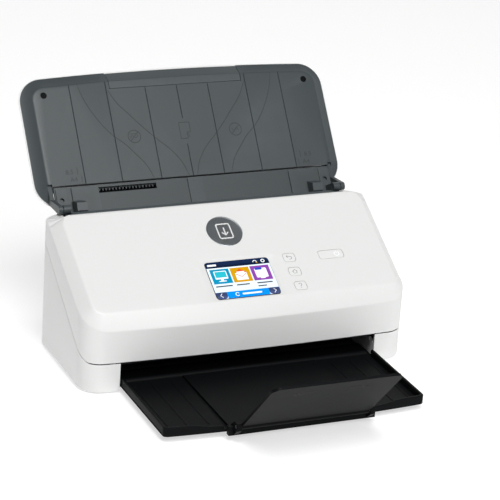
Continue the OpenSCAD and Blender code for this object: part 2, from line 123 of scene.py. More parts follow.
class Shape:
    """Gathers grids of quads and flat caps, each worked out as whole arrays, into one mesh."""

    def __init__(self):
        self.points, self.faces, self.marks, self.count = [], [], [], 0

    def grid(self, p, round_u=False, round_v=False, mark=0):
        """Quads between neighbours of a grid of points, joined end to end where it runs round."""
        nu, nv = p.shape[:2]
        index = np.arange(nu * nv).reshape(nu, nv) + self.count
        if round_u:
            index = np.concatenate([index, index[:1]], axis=0)
        if round_v:
            index = np.concatenate([index, index[:, :1]], axis=1)
        quads = np.stack([index[:-1, :-1], index[1:, :-1], index[1:, 1:], index[:-1, 1:]], axis=-1)
        self.add(p.reshape(-1, 3), quads.reshape(-1, 4).tolist(), mark)

    def cap(self, loop, mark=0):
        """One flat face over a closed loop of points."""
        self.add(loop, [list(range(self.count, self.count + len(loop)))], mark)

    def add(self, points, faces, mark):
        self.points.append(np.asarray(points, float))
        self.faces += faces
        self.marks += [mark] * len(faces)
        self.count += len(points)

    def plate(self, outline, profile, mark=0):
        """A profile of (inset, height) steps carried round a closed outline, with flat ends."""
        rings = np.stack([np.c_[inset(outline, g), np.full(len(outline), h)] for g, h in profile])
        self.grid(rings, round_v=True, mark=mark)
        self.cap(rings[0], mark)
        self.cap(rings[-1], mark)

    def bead(self, path, width, low, high, mark=0):
        """A low rounded bead: a trapezium section carried along a path in the local plane."""
        path = np.asarray(path, float)
        side = normals(path) * width / 2
        lay = [(-1.0, low), (-1.0, high * 0.4), (-0.55, high), (0.55, high), (1.0, high * 0.4), (1.0, low)]
        rings = np.stack([np.c_[path + side * k, np.full(len(path), h)] for k, h in lay], axis=1)
        self.grid(rings, round_v=True, mark=mark)
        self.cap(rings[0], mark)
        self.cap(rings[-1], mark)

    def mirror(self):
        """The same faces again on the other side of the middle."""
        shift = self.count
        self.add(np.concatenate(self.points) * [-1, 1, 1],
                 [[i + shift for i in reversed(f)] for f in self.faces], 0)
        self.marks[-len(self.faces) // 2:] = self.marks[:len(self.faces) // 2]

    def build(self, name, base=FRONT, closed=True, sharp=30.0):
        """The mesh object at the origin, doubles merged, faces outwards, sharp above an angle."""
        mesh = bpy.data.meshes.new(name)
        points = place(np.concatenate(self.points), base)
        mesh.from_pydata(points.tolist(), [], self.faces)
        mesh.polygons.foreach_set("material_index", self.marks)
        return settle(mesh, name, closed, sharp)


def settle(mesh, name, closed=True, sharp=30.0):
    """Merges doubles, points the faces outwards, shades smooth below an angle and links the object."""
    bm = bmesh.new()
    bm.from_mesh(mesh)
    bmesh.ops.remove_doubles(bm, verts=bm.verts, dist=2e-6)
    bmesh.ops.dissolve_degenerate(bm, edges=bm.edges, dist=1e-7)
    if closed:
        bmesh.ops.recalc_face_normals(bm, faces=bm.faces)
    bm.to_mesh(mesh)
    bm.free()
    mesh.polygons.foreach_set("use_smooth", np.ones(len(mesh.polygons), bool))
    mesh.set_sharp_from_angle(angle=math.radians(sharp))
    mesh.update()
    piece = bpy.data.objects.new(name, mesh)
    bpy.context.scene.collection.objects.link(piece)
    return piece


def normals(path):
    """Unit normals of a path in a plane: its direction turned a quarter turn."""
    d = np.gradient(np.asarray(path, float), axis=0)
    d /= np.maximum(np.linalg.norm(d, axis=1, keepdims=True), 1e-9)
    return np.c_[-d[:, 1], d[:, 0]]


def inset(outline, g):
    """A closed outline moved inwards by g: each point goes along the mitre of its two edges."""
    p = np.asarray(outline, float)
    a, b = p - np.roll(p, 1, axis=0), np.roll(p, -1, axis=0) - p
    a /= np.linalg.norm(a, axis=1, keepdims=True)
    b /= np.linalg.norm(b, axis=1, keepdims=True)
    na, nb = np.c_[-a[:, 1], a[:, 0]], np.c_[-b[:, 1], b[:, 0]]
    return p + g * (na + nb) / (1 + np.sum(na * nb, axis=1, keepdims=True))


def arc(cx, cy, r, a0, a1, n=8):
    """Points on a circle from one angle to another, in degrees."""
    a = np.radians(np.linspace(a0, a1, n + 1))
    return np.c_[cx + r * np.cos(a), cy + r * np.sin(a)]


def rounded(x0, x1, y0, y1, r, n=6):
    """A rectangle's outline with quarter circles at its corners, anticlockwise."""
    return np.concatenate([arc(x1 - r, y1 - r, r, 0, 90, n), arc(x0 + r, y1 - r, r, 90, 180, n),
                           arc(x0 + r, y0 + r, r, 180, 270, n), arc(x1 - r, y0 + r, r, 270, 360, n)])


def eased(rows, radii, n=4):
    """A polyline of rows of points with each inner corner replaced by a curve: the parabola that
    leaves the corner at its radius along both edges."""
    out = [rows[0][None]]
    t = np.linspace(0, 1, n + 1)[:, None, None]
    for before, at, after, r in zip(rows[:-2], rows[1:-1], rows[2:], radii):
        a, b = before - at, after - at
        la = np.linalg.norm(a, axis=-1, keepdims=True)
        lb = np.linalg.norm(b, axis=-1, keepdims=True)
        ra, rb = np.minimum(r, la * 0.45), np.minimum(r, lb * 0.45)
        start = at + a / np.maximum(la, 1e-9) * ra
        end = at + b / np.maximum(lb, 1e-9) * rb
        out.append((1 - t) ** 2 * start + 2 * t * (1 - t) * at + t ** 2 * end)
    out.append(rows[-1][None])
    return np.concatenate(out)


def carved(piece, *cutters):
    """The piece with its modifiers and its cuts worked into its mesh; the cutters are removed."""
    for cutter in cutters:
        cut = piece.modifiers.new("cut", "BOOLEAN")
        cut.operation, cut.solver, cut.object = "DIFFERENCE", "EXACT", cutter
    mesh = bpy.data.meshes.new_from_object(piece.evaluated_get(bpy.context.evaluated_depsgraph_get()))
    name = piece.name
    for spent in (piece,) + cutters:
        bpy.data.objects.remove(spent)
    return settle(mesh, name, closed=False, sharp=28.0)


def edged(piece, width, segments=2, angle=32.0):
    """Rounds the piece's own edges that are sharper than the angle."""
    bevel = piece.modifiers.new("edge", "BEVEL")
    bevel.width, bevel.segments, bevel.limit_method = width * MM, segments, "ANGLE"
    bevel.angle_limit, bevel.loop_slide = math.radians(angle), False
    even = piece.modifiers.new("even", "WEIGHTED_NORMAL")
    even.mode, even.weight, even.keep_sharp = "FACE_AREA", 100, True
    return piece


def softened(node, name, width=0.4, segments=2):
    """A moulded version of a CAD node: its mesh copied, doubles merged, flats joined, edges rounded."""
    source = frame["nodes"][node].data
    bm = bmesh.new()
    bm.from_mesh(source)
    for layer in [k for k in bm.loops.layers.float_vector.keys()]:
        bm.loops.layers.float_vector.remove(bm.loops.layers.float_vector[layer])
    bmesh.ops.remove_doubles(bm, verts=bm.verts, dist=2e-6)
    bmesh.ops.dissolve_limit(bm, angle_limit=math.radians(0.8), verts=bm.verts, edges=bm.edges)
    mesh = bpy.data.meshes.new(name)
    bm.verts.ensure_lookup_table()
    mesh.from_pydata([v.co[:] for v in bm.verts], [], [[v.index for v in f.verts] for f in bm.faces])
    bm.free()
    piece = settle(mesh, name, sharp=28.0)
    edged(piece, width, segments)
    return piece


def show(piece, body, slot, finishes, *nodes):
    """Gives a piece its finishes and its body, and hides the CAD nodes that it stands for; the slot is not
    used.
    """
    for finish in (finishes if isinstance(finishes, (list, tuple)) else [finishes]):
        piece.data.materials.append(finish)
    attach(piece, body)
    if nodes:
        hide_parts(*nodes)
    return piece


# ---- Finishes ----

class Value:
    """A socket in a finish, so that sums on it read as plain expressions."""

    def __init__(self, finish, socket):
        self.finish, self.socket = finish, socket

    def _sum(self, operation, *values):
        return self.finish.node("ShaderNodeMath", {"operation": operation}, dict(enumerate(values)))

    def __add__(self, other):
        return self._sum("ADD", self, other)

    def __sub__(self, other):
        return self._sum("SUBTRACT", self, other)

    def __rsub__(self, other):
        return self._sum("SUBTRACT", other, self)

    def __mul__(self, other):
        return self._sum("MULTIPLY", self, other)

    __radd__ = __add__
    __rmul__ = __mul__


class Finish:
    """One material, whose nodes come from node() and whose shader is set by shade()."""

    def __init__(self, name):
        self.material = bpy.data.materials.new(name)
        self.material.use_nodes = True
        self.tree = self.material.node_tree
        self.shader = self.tree.nodes["Principled BSDF"]

    def node(self, kind, settings, sockets, out=0):
        """Adds a node: its settings first, then its sockets' values or links."""
        made = self.tree.nodes.new(kind)
        for key, value in settings.items():
            setattr(made, key, value)
        for key, value in sockets.items():
            self.join(made.inputs[key], value)
        return Value(self, made.outputs[out])

    def join(self, socket, value):
        if isinstance(value, Value):
            self.tree.links.new(value.socket, socket)
        else:
            socket.default_value = value

    def place(self):
        return self.node("ShaderNodeTexCoord", {}, {}, "Object")

    def noise(self, scale, detail=2.0, vector=None):
        return self.node("ShaderNodeTexNoise", {},
                         {"Vector": vector or self.place(), "Scale": scale, "Detail": detail}, "Fac")

    def mix(self, low, high, amount):
        """A colour between two colours."""
        return self.node("ShaderNodeMix", {"data_type": "RGBA"}, {0: amount, 6: low, 7: high}, 2)

    def steps(self, value, low, high):
        """0 below low, 1 above high, smooth between."""
        return self.node("ShaderNodeMapRange", {"interpolation_type": "SMOOTHSTEP"},
                         {"Value": value, "From Min": low, "From Max": high})

    def relief(self, height, depth, strength=1.0):
        """A bump of this depth in mm."""
        return self.node("ShaderNodeBump", {},
                         {"Height": height, "Distance": depth * MM, "Strength": strength})

    def worn(self, low=0.52, high=0.6):
        """How far a spot stands out as an edge, from the shape's own curvature."""
        edge = self.node("ShaderNodeNewGeometry", {}, {}, "Pointiness")
        return self.steps(edge, low, high)

    def shade(self, **sockets):
        for key, value in sockets.items():
            self.join(self.shader.inputs[key.replace("_", " ")], value)
        return self.material


def rgba(colour, gain=1.0):
    return tuple(min(1.0, c * gain) for c in colour) + (1.0,)


def moulded(name, colour, rough, grain=0.35, depth=0.012, vary=0.03, wear=0.25, wear_gain=1.5, spec=0.5):
    """Moulded plastic: slight cloudiness, spark grain, uneven sheen and rubbed edges."""
    f = Finish(name)
    cloud = f.noise(14.0, 3.0)
    fine = f.noise(1.0 / (grain * MM), 2.0)
    tone = f.mix(rgba(colour, 1 - vary), rgba(colour, 1 + vary), cloud)
    tone = f.mix(tone, rgba(colour, wear_gain), f.worn() * f.noise(90.0, 3.0) * wear)
    return f.shade(Base_Color=tone, Roughness=rough + 0.08 * (cloud - 0.5) + 0.06 * (fine - 0.5),
                   Normal=f.relief(fine, depth), Specular_IOR_Level=spec)


def rubber(name, colour):
    """Matt rubber with a powdery cast and a fine pebbled surface."""
    f = Finish(name)
    dust, pebble = f.noise(60.0, 4.0), f.noise(1800.0, 2.0)
    return f.shade(Base_Color=f.mix(rgba(colour, 0.85), rgba(colour, 1.35), f.steps(dust, 0.4, 0.75)),
                   Roughness=0.75 + 0.2 * (pebble - 0.5), Normal=f.relief(pebble, 0.03))


def metal(name, colour, rough, stretch=(1.0, 40.0, 40.0)):
    """Drawn or rolled metal: long scratches along one way and a smudged sheen."""
    f = Finish(name)
    way = f.node("ShaderNodeMapping", {}, {"Vector": f.place(), "Scale": stretch})
    lines, smudge = f.noise(90.0, 4.0, way), f.noise(35.0, 3.0)
    tone = f.mix(rgba(colour, 0.88), rgba(colour, 1.08), lines)
    return f.shade(Base_Color=tone, Metallic=1.0, Normal=f.relief(lines, 0.01),
                   Roughness=rough + 0.15 * (lines - 0.5) + 0.12 * (smudge - 0.5))


def clear_glass(name, colour, alpha):
    """Scanning glass: clear, faintly tinted, with a few wiping marks."""
    f = Finish(name)
    wipe = f.noise(25.0, 3.0)
    return f.shade(Base_Color=rgba(colour), Alpha=alpha + 0.05 * (wipe - 0.5), IOR=1.5,
                   Roughness=0.05 + 0.1 * f.steps(wipe, 0.55, 0.75))


def circuit(name):
    """Lacquered board: straight copper tracks under green lacquer, with pads."""
    f = Finish(name)
    spot = f.place()
    cells = f.node("ShaderNodeTexVoronoi", {"distance": "MANHATTAN"}, {"Vector": spot, "Scale": 260.0})
    brick = f.node("ShaderNodeTexBrick", {}, {
        "Vector": spot, "Scale": 90.0, "Color1": (1, 1, 1, 1), "Color2": (0.9, 0.9, 0.9, 1),
        "Mortar": (0, 0, 0, 1), "Mortar Size": 0.03}, "Fac")
    tone = f.mix((0.012, 0.12, 0.05, 1), (0.03, 0.22, 0.1, 1), brick)
    tone = f.mix(tone, (0.7, 0.6, 0.35, 1), f.steps(0.16 - cells, 0.0, 0.05))
    sheen = 0.35 + 0.1 * (f.noise(50.0) - 0.5)
    return f.shade(Base_Color=tone, Roughness=sheen, Normal=f.relief(brick, 0.03))


def printed(name, colour, rough=0.45, glow=0.0):
    """Printed or lit colour with a faint screen of dots, so that it is never quite flat; on the power sign
    the glow is painted light.
    """
    f = Finish(name)
    dots = f.noise(2600.0, 1.0)
    tone = f.mix(rgba(colour, 0.95), rgba(colour, 1.05), dots)
    return f.shade(Base_Color=tone, Roughness=rough + 0.05 * (f.noise(40.0) - 0.5), Emission_Color=tone,
                   Emission_Strength=glow)


# ---- Settings shown in the sidebar ----

def colour_prop(name, text, default):
    return FloatVectorProperty(name=name, description=text, default=default, size=3, min=0, max=1,
                               subtype="COLOR")


def length_prop(name, text, default):
    return FloatProperty(name=name, description=text, default=default * MM, unit="LENGTH", precision=5)


class ShellSettings(bpy.types.PropertyGroup):
    white: colour_prop("White", "Colour of the white shells", (0.8, 0.805, 0.795))
    edge: length_prop("Edge", "Rounding of the shell's creases", 1.0)
    wall: length_prop("Wall", "Thickness of the white shells", 2.3)


class TraySettings(bpy.types.PropertyGroup):
    slate: colour_prop("Slate", "Colour of the input tray", (0.051, 0.0625, 0.067))
    black: colour_prop("Black", "Colour of the output tray", (0.0036, 0.004, 0.0045))
    groove: length_prop("Groove", "Width of the tray's grooves", 0.9)


class PanelSettings(bpy.types.PropertyGroup):
    header: colour_prop("Header", "Colour of the display's header bar", (0.006, 0.018, 0.065))
    badge: colour_prop("Badge", "Colour of the round badge", (0.56, 0.60, 0.63))


class StageSettings(bpy.types.PropertyGroup):
    floor: colour_prop("Floor", "Colour of the floor", (0.93, 0.93, 0.93))
    glow: FloatProperty(name="Glow", description="Light of the floor itself", default=0.6)
    key_power: FloatProperty(name="Key light", description="Strength of the key light", default=16.0,
                             unit="POWER")


def settings():
    scene = bpy.context.scene
    return scene.scan_shell, scene.scan_tray, scene.scan_panel, scene.scan_stage


# ---- Housing ----

def seam_z(y):
    """Parting line: level round the front corners, then straight up towards the back."""
    return np.maximum(28.0, 21.27 + 0.6745 * np.asarray(y, float))


def deck_profile(y):
    """Height of the cover's top along its middle: sloped panel, rolled rim, step and level deck."""
    at = [PANEL[0], 102.35, 105.0, 107.0, 112.0, POD_DEPTH]
    return np.interp(y, at, [PANEL[1], 124.18, 123.9, 122.7, 118.5, 116.2])


def cover_rows():
    """Right half of the cover's outer skin as rows of four corner points, from the front's middle
    round the corner and along the side to the back: parting line, top of the wall, edge of the
    panel, and a point on the panel. The wall follows the plan: bowed front, two corner circles."""
    turn = np.radians(np.linspace(90, 0, 11))[1:]
    r2 = 10.63
    x_mid = HALF_W - BEVEL_W - r2
    fx = np.linspace(0, 1, 13)
    # front
    f0 = stack(CORNER_X * fx, bow_y(CORNER_X * fx), 28.0)
    f1 = stack(CORNER_X * fx, bow_y(CORNER_X * fx), BAND_TOP + 0.3 * bow_y(CORNER_X * fx))
    f2 = tilted(stack(x_mid * fx, 0.0, 0.0), PANEL)
    f3 = tilted(stack(x_mid * fx, r2, 0.0), PANEL)
    # corner
    cx, sy = np.cos(turn), 1 - np.sin(turn)
    wy = bow_y(CORNER_X) + CORNER_R * sy
    low = BAND_TOP + 0.3 * bow_y(CORNER_X)
    c0 = stack(CORNER_X + CORNER_R * cx, wy, seam_z(wy))
    c1 = stack(CORNER_X + CORNER_R * cx, wy, low + (68.7 - low) * sy ** 0.75)
    c2 = tilted(stack(x_mid + r2 * cx, r2 * sy, 0.0), PANEL)
    c3 = tilted(stack(x_mid + 0 * cx, r2, 0.0), PANEL)
    # side, with the panel's rounded upper corner
    t = np.linspace(0, 1, 17)[1:]
    y2 = 18.73 + (94.0 - 18.73) * t
    y1 = y2 + 4.32 * (1 - t)
    z2 = deck_profile(y2)
    z1 = 71 + (y1 - 9.5) * 0.5727 - 1.152 * BEVEL_W + 0.45
    s0 = stack(HALF_W, y1, seam_z(y1))
    s1 = stack(HALF_W, y1, z1)
    s2 = stack(HALF_W - BEVEL_W, y2, z2)
    s3 = stack(x_mid, y2, z2)
    # pod: the bevel runs out into the deck, whose outer edge follows the corner circle
    y = np.concatenate([np.linspace(95, 105.9, 11), np.linspace(106.1, 112, 6), np.linspace(114, 129.9, 14)])
    past = np.maximum(y - (POD_DEPTH - CORNER_R), 0)
    wall_x = np.where(past > 0, CORNER_X + np.sqrt(np.maximum(CORNER_R ** 2 - past ** 2, 0)), HALF_W)
    bevel_z = 71 + (y - 9.5) * 0.5727 - 1.152 * BEVEL_W + 0.45
    z1 = np.minimum(bevel_z, 118.0 - 0.13 * np.maximum(y - 112, 0) - 0.6 * (y > 108))
    turn_x = 131.4 + np.sqrt(np.maximum(100 - (np.clip(y, 94, 104) - 94) ** 2, 0))
    inner = np.where(y < POD_FROM, x_mid, THROAT_HALF)
    z3 = deck_profile(y)
    on_panel = y < 103.5
    x2 = np.where(on_panel, np.maximum(turn_x, THROAT_HALF + 1), np.minimum(THROAT_HALF + 4, wall_x - 0.05))
    way_out = (x2 - inner) / np.maximum(wall_x - inner, 1)
    z2 = np.where(on_panel, deck_profile(y), z3 + (z1 - z3) * way_out * 0.7)
    deck = y > 111.5
    x2 = np.where(deck, np.maximum(wall_x - 3.0, THROAT_HALF + 0.05), x2)
    z2 = np.where(deck, z3 - 0.1, z2)
    p0, p1 = stack(wall_x, y, seam_z(y)), stack(wall_x, y, z1)
    p2, p3 = stack(x2, y, z2), stack(inner, y, z3)
    runs = ((f0, c0, s0, p0), (f1, c1, s1, p1), (f2, c2, s2, p2), (f3, c3, s3, p3))
    rows = [np.concatenate(run) for run in runs]
    return rows, len(fx), len(fx) + len(turn)


def window(x0, x1, s0, s1, r, low, high, base=PANEL):
    """A cutter: a rounded rectangle carried square to its plane."""
    shape = Shape()
    shape.plate(rounded(x0, x1, s0, s1, r), [(0, low), (0, high)])
    return shape.build("cutter", base)


def cover_skin():
    """The white front cover: the corner rows eased into curves, the panel's middle, the inner walls
    beside the throat, then a wall thickness and the windows for display, keys and latch."""
    shell = settings()[0]
    rows, front, corner = cover_rows()
    edge = shell.edge / MM
    shape = Shape()
    shape.grid(eased(rows, (edge, edge * 1.25), 4))
    # panel: rows from the front strip's inner line to the rim
    side = rows[3][corner - 1:]
    side = side[side[:, 1] < POD_FROM]
    across = rows[3][:front, 0]
    shape.grid(stack(across[None, :], side[:, 1][:, None], side[:, 2][:, None]))
    # inner wall of the pod
    inner = rows[3][rows[3][:, 1] > POD_FROM]
    shape.grid(np.stack([inner, inner - [0, 0, 1.0], inner - [0, 0, 18.0]]))
    shape.mirror()
    skin = shape.build("cover_skin", closed=True)
    up = sum(f.normal.z * f.area for f in skin.data.polygons)
    if up < 0:
        skin.data.flip_normals()
    solid = skin.modifiers.new("wall", "SOLIDIFY")
    solid.thickness, solid.offset, solid.use_even_offset = shell.wall, -1.0, False
    recess = Shape()
    recess.plate(rounded(-33.6, 33.6, 2.2, 44.0, 2.6), [(0, -0.8), (-1.7, 0.0), (-1.75, 6.0)])
    cuts = [recess.build("cutter", PANEL), window(-30.1, 30.1, 2.1, 42.9, 3.2, -8, 6)]
    for s in KEY_ROWS:
        cuts.append(window(KEY_X - 5.8, KEY_X + 5.8, s - 4.8, s + 4.8, 2.8, -8, 6))
    x, s = POWER_AT
    cuts.append(window(x - 12.05, x + 12.05, s - 4.8, s + 4.8, 2.8, -8, 6))
    slot = Shape()
    slot.plate(rounded(67.4, 114.0, 103.1, 110.0, 0.4), [(0, 114), (0, 130)])
    cuts.append(slot.build("cutter"))
    return carved(skin, *cuts)


def base_path():
    """Plan of the base from the front leg's inner edge round the side to the back: the bowed front,
    a corner circle, the straight side and the rear corner circle."""
    fx = np.linspace(LEG_X, CORNER_X, 5)
    return np.concatenate([
        np.c_[fx, bow_y(fx)], arc(CORNER_X, bow_y(CORNER_X) + CORNER_R, CORNER_R, -90, 0, 12)[1:],
        np.c_[np.full(14, HALF_W), np.linspace(28, 106, 14)], arc(CORNER_X, 110, CORNER_R, 0, 90, 10),
        [[LEG_X + 0.6, POD_DEPTH]]])


def base_skin():
    """The white base: a wall section carried along half the plan, its top under the parting line
    and its foot lightly arched, mirrored, with the cheeks beside the output opening."""
    wall = settings()[0].wall / MM
    path = base_path()
    y = path[:, 1]
    out = -normals(path)
    out[0], out[-1] = [0, -1], [0, 1]
    top = seam_z(y) - 0.75
    arch = np.sin(np.pi * np.clip(y / POD_DEPTH, 0, 1))
    foot = 1.0 + 1.6 * arch
    dip = np.interp(y, [0, 3, 6.5, 11], [1.5, 3.0, 3.0, 0.0])
    inside = path - out * wall
    notch = (np.abs(path[:, 0]) < THROAT_HALF + 0.5) & (y > 100)
    top = np.where(notch, np.minimum(top, 103.0), top)
    rows = [np.c_[inside, foot + 1.0], np.c_[inside, top - dip], np.c_[path, top],
            np.c_[path, foot], np.c_[inside, foot + 0.4]]
    section = eased(rows, (0.3, 0.5, 1.6), 3)
    shape = Shape()
    shape.grid(section, round_u=True)
    shape.cap(section[:, 0])
    shape.cap(section[:, -1])
    # cheek wall of the opening, under the paper bed
    cheek = np.array([[5.0, 4.5], [60, 4.5], [60, 23.4], [19, 23.4], [11.5, 18.4], [5.0, 18.4]])
    ring = np.stack([np.c_[np.full(6, x), cheek] for x in (LEG_X, LEG_X + 2.4)])
    shape.grid(ring, round_v=True)
    shape.cap(ring[0])
    shape.cap(ring[1])
    # hinge ear behind the leg
    ear = np.concatenate([[[9.0, 4.6], [11.3, 4.6]], arc(HINGE_Y, 30.2, 2.55, 0, 180, 10)])
    ring = np.stack([np.c_[np.full(len(ear), x), ear] for x in (122.1, 125.1)])
    shape.grid(ring, round_v=True)
    shape.cap(ring[0])
    shape.cap(ring[1])
    foot = np.array([[9.0, 4.6], [11.3, 4.6], [11.3, 18.0], [9.0, 18.0]])
    ring = np.stack([np.c_[np.full(4, x), foot] for x in (LEG_X + 2.0, 122.5)])
    shape.grid(ring, round_v=True)
    shape.cap(ring[0])
    shape.cap(ring[1])
    shape.mirror()
    return shape.build("base_skin")


# ---- Input tray ----

def tray_edge(g, n=10):
    """Outline of the tray, g inside its edge: rounded corners, a top that bows by 3 mm."""
    r, cx, top, foot = 22 - g, TRAY_HALF - 22, TRAY_LEN - 25, 5.0
    x = cx * (1 - np.arange(1, 16) / 8)
    bowed = np.c_[x, top + r + 3 * (1 - (x / cx) ** 2)]
    return np.concatenate([arc(cx, top, r, 0, 90, n), bowed, arc(-cx, top, r, 90, 180, n),
                           arc(-cx, foot, r, 180, 270, n), arc(cx, foot, r, 270, 360, n)])


def tray_skin():
    """The slate tray: rings from its back edge over the bevel to the flat floor, with the notch
    for the ramp and the gap for the extension cut through."""
    shape = Shape()
    face_steps = [(2.6, EDGE_H + 0.2), (0.5, EDGE_H + 0.2), (0.1, EDGE_H + 0.4), (0.7, EDGE_H + 0.5),
                  (9.4, -0.78), (10.2, -0.3), (11.6, 0.0)]
    back_steps = [(13.5, -2.2), (4.2, EDGE_H + 0.6)]
    face, back = (np.stack([np.c_[tray_edge(g), np.full(len(tray_edge(g)), h)] for g, h in steps])
                  for steps in (face_steps, back_steps))
    shape.grid(face, round_v=True)
    shape.cap(face[-1])
    shape.grid(np.concatenate([face[:1], back[::-1]]), round_v=True)
    shape.cap(back[0])
    skin = shape.build("tray_skin", TRAY)
    cuts = [box_cutter((-133.0, -60, -30), (133.0, 0, 30)), box_cutter((-64.35, 86.7, -20), (64.35, 150, 10))]
    for side in (-1, 1):
        cuts.append(box_cutter((side * 135.2 - 2, -60, -7.3), (side * 135.2 + 2, 2, 30)))
        hole = Shape()
        hole.plate(arc(side * 126.5, 84.3, 3.0, 0, 360, 24)[:-1], [(0, -1.6), (0, 5)])
        cuts.append(hole.build("cutter", TRAY))
    for x in (30.4, 67.6, 102.0):
        for side in (-1, 1):
            cuts.append(groove_cutter(side * x, 0, 93.5 if abs(x) > 65 else 86.0))
    cuts += [groove_cutter(0, 0, 30.0), groove_cutter(0, 55.5, 86.0)]
    return carved(skin, *cuts)


def box_cutter(low, high, base=TRAY):
    """A cutter with square corners between two corners."""
    shape = Shape()
    outline = np.array([[high[0], low[1]], [high[0], high[1]], [low[0], high[1]], [low[0], low[1]]], float)
    shape.plate(outline, [(0, low[2]), (0, high[2])])
    return shape.build("cutter", base)


def groove_cutter(x, s0, s1):
    """A cutter for a V groove along the tray's floor."""
    w = settings()[1].groove / MM / 2
    section = np.array([[x - w, 0.2], [x - w, 0.0], [x, -0.75], [x + w, 0.0], [x + w, 0.2]])
    ring = np.stack([np.c_[section[:, 0], np.full(5, s), section[:, 1]] for s in (s0 - 1.0, s1)])
    shape = Shape()
    shape.grid(ring, round_v=True)
    shape.cap(ring[0])
    shape.cap(ring[1])
    return shape.build("cutter", TRAY)


def curve_through(points, n=40):
    """A smooth path through a few points: each span is the cubic whose slopes are those of the
    neighbouring chords."""
    p = np.asarray(points, float)
    chord = np.r_[0, np.cumsum(np.linalg.norm(np.diff(p, axis=0), axis=1))]
    m = np.gradient(p, chord, axis=0)
    t = np.linspace(0, chord[-1], n)
    i = np.clip(np.searchsorted(chord, t, side="right") - 1, 0, len(p) - 2)
    h = (chord[i + 1] - chord[i])[:, None]
    u = ((t - chord[i])[:, None]) / h
    return ((1 + 2 * u) * (1 - u) ** 2 * p[i] + u * (1 - u) ** 2 * h * m[i]
            + u * u * (3 - 2 * u) * p[i + 1] + u * u * (u - 1) * h * m[i + 1])


def tray_marks():
    """Raised lines on the tray's floor: the long S curves, the paper marks and three plain signs."""
    shape = Shape()
    outer = [(94.2, 93.0), (91.5, 82), (87, 70.5), (69, 43),
             (58.5, 33.5), (51.5, 25), (42.5, 13), (37.4, 0.5)]
    inner = [(66, 85.5), (61, 75), (49, 60), (38, 47), (30, 38.5), (15, 23.3), (8, 12.5), (3.9, 0.5)]
    for side in (-1, 1):
        for line in (outer, inner):
            shape.bead(curve_through(np.array(line) * [side, 1]), 0.75, -0.1, 0.14)
        for x, s, rise in ((107.95, 9.2, 6.4), (105.0, 1.6, 5.6)):
            shape.bead(np.array([[side * x, s], [side * x, s + rise]]), 0.6, -0.1, 0.12)
        ring = arc(side * 49, 40.5, 5.9, 0, 360, 28)
        shape.bead(ring, 0.7, -0.1, 0.14)
        shape.bead(np.array([[side * 49 - 3.9, 36.6], [side * 49 + 3.9, 44.4]]), 0.7, -0.1, 0.14)
    shape.bead(curve_through([(-53, 39), (-51, 41.5), (-48, 39.2), (-45.3, 41.6)], 16), 0.6, -0.1, 0.12)
    shape.bead(np.array([[-52.2, 43], [-46, 43.0]]), 0.6, -0.1, 0.12)
    shape.bead(curve_through([(45.4, 42), (47.5, 39.4), (50, 41.7), (52.6, 39.4)], 16), 0.6, -0.1, 0.12)
    page = [[-4.8, 50.5], [5.2, 50.5], [5.2, 41.0], [1.8, 41.0], [1.8, 35.2], [-4.8, 35.2], [-4.8, 50.5]]
    for a, b in zip(page[:-1], page[1:]):
        shape.bead(np.array([a, b], float), 0.7, -0.1, 0.14)
    shape.bead(np.array([[2.4, 39.8], [4.0, 36.4]]), 0.6, -0.1, 0.12)
    shape.bead(np.array([[1.2, 39.0], [2.6, 35.8]]), 0.6, -0.1, 0.12)
    return shape.build("tray_marks", TRAY)


def paper_size_marks():
    """The paper widths beside the guide marks, as plain numbers and letters."""
    made = []
    for side in (-1, 1):
        for text, x, s in (("8.5", 115.4, 11.7), ("A4", 112.4, 4.65)):
            curve = bpy.data.curves.new("size_text", "FONT")
            curve.body, curve.size, curve.align_x, curve.align_y = text, 6.0, "CENTER", "CENTER"
            curve.extrude, curve.resolution_u = 0.12, 3
            spot = bpy.data.objects.new("size_text", curve)
            bpy.context.scene.collection.objects.link(spot)
            mesh = bpy.data.meshes.new_from_object(spot.evaluated_get(bpy.context.evaluated_depsgraph_get()))
            bpy.data.objects.remove(spot)
            v = np.empty(len(mesh.vertices) * 3, np.float32)
            mesh.vertices.foreach_get("co", v)
            p = v.reshape(-1, 3) + [side * x, s, 0.02]
            mesh.vertices.foreach_set("co", place(p, TRAY).astype(np.float32).ravel())
            made.append(mesh)
    bm = bmesh.new()
    for mesh in made:
        bm.from_mesh(mesh)
        bpy.data.meshes.remove(mesh)
    mesh = bpy.data.meshes.new("size_marks")
    bm.to_mesh(mesh)
    bm.free()
    return settle(mesh, "size_marks")


def tray_shell():
    """The white back of the tray: rings from the slate edge round a full rim to a shallow dish."""
    shape = Shape()
    rings = [(3.0, EDGE_H - 0.2), (1.2, EDGE_H - 0.2), (-0.9, EDGE_H - 0.4), (-1.0, EDGE_H - 1.2),
             (0.2, EDGE_H - 3.0), (3.0, EDGE_H - 4.6), (8.0, -12.7), (9.5, -13.0), (18, -13.0), (19.5, -12.2)]
    p = np.stack([np.c_[tray_edge(g), np.full(len(tray_edge(0)), h)] for g, h in rings])
    shape.grid(p, round_v=True)
    shape.cap(p[0])
    shape.cap(p[-1])
    shell = shape.build("tray_shell", TRAY)
    cuts = [box_cutter((-133.0, -60, -30), (133.0, 0, 30))]
    cuts += [box_cutter((s * 135.2 - 2, -60, -7.3), (s * 135.2 + 2, 2, 30)) for s in (-1, 1)]
    return carved(shell, *cuts)


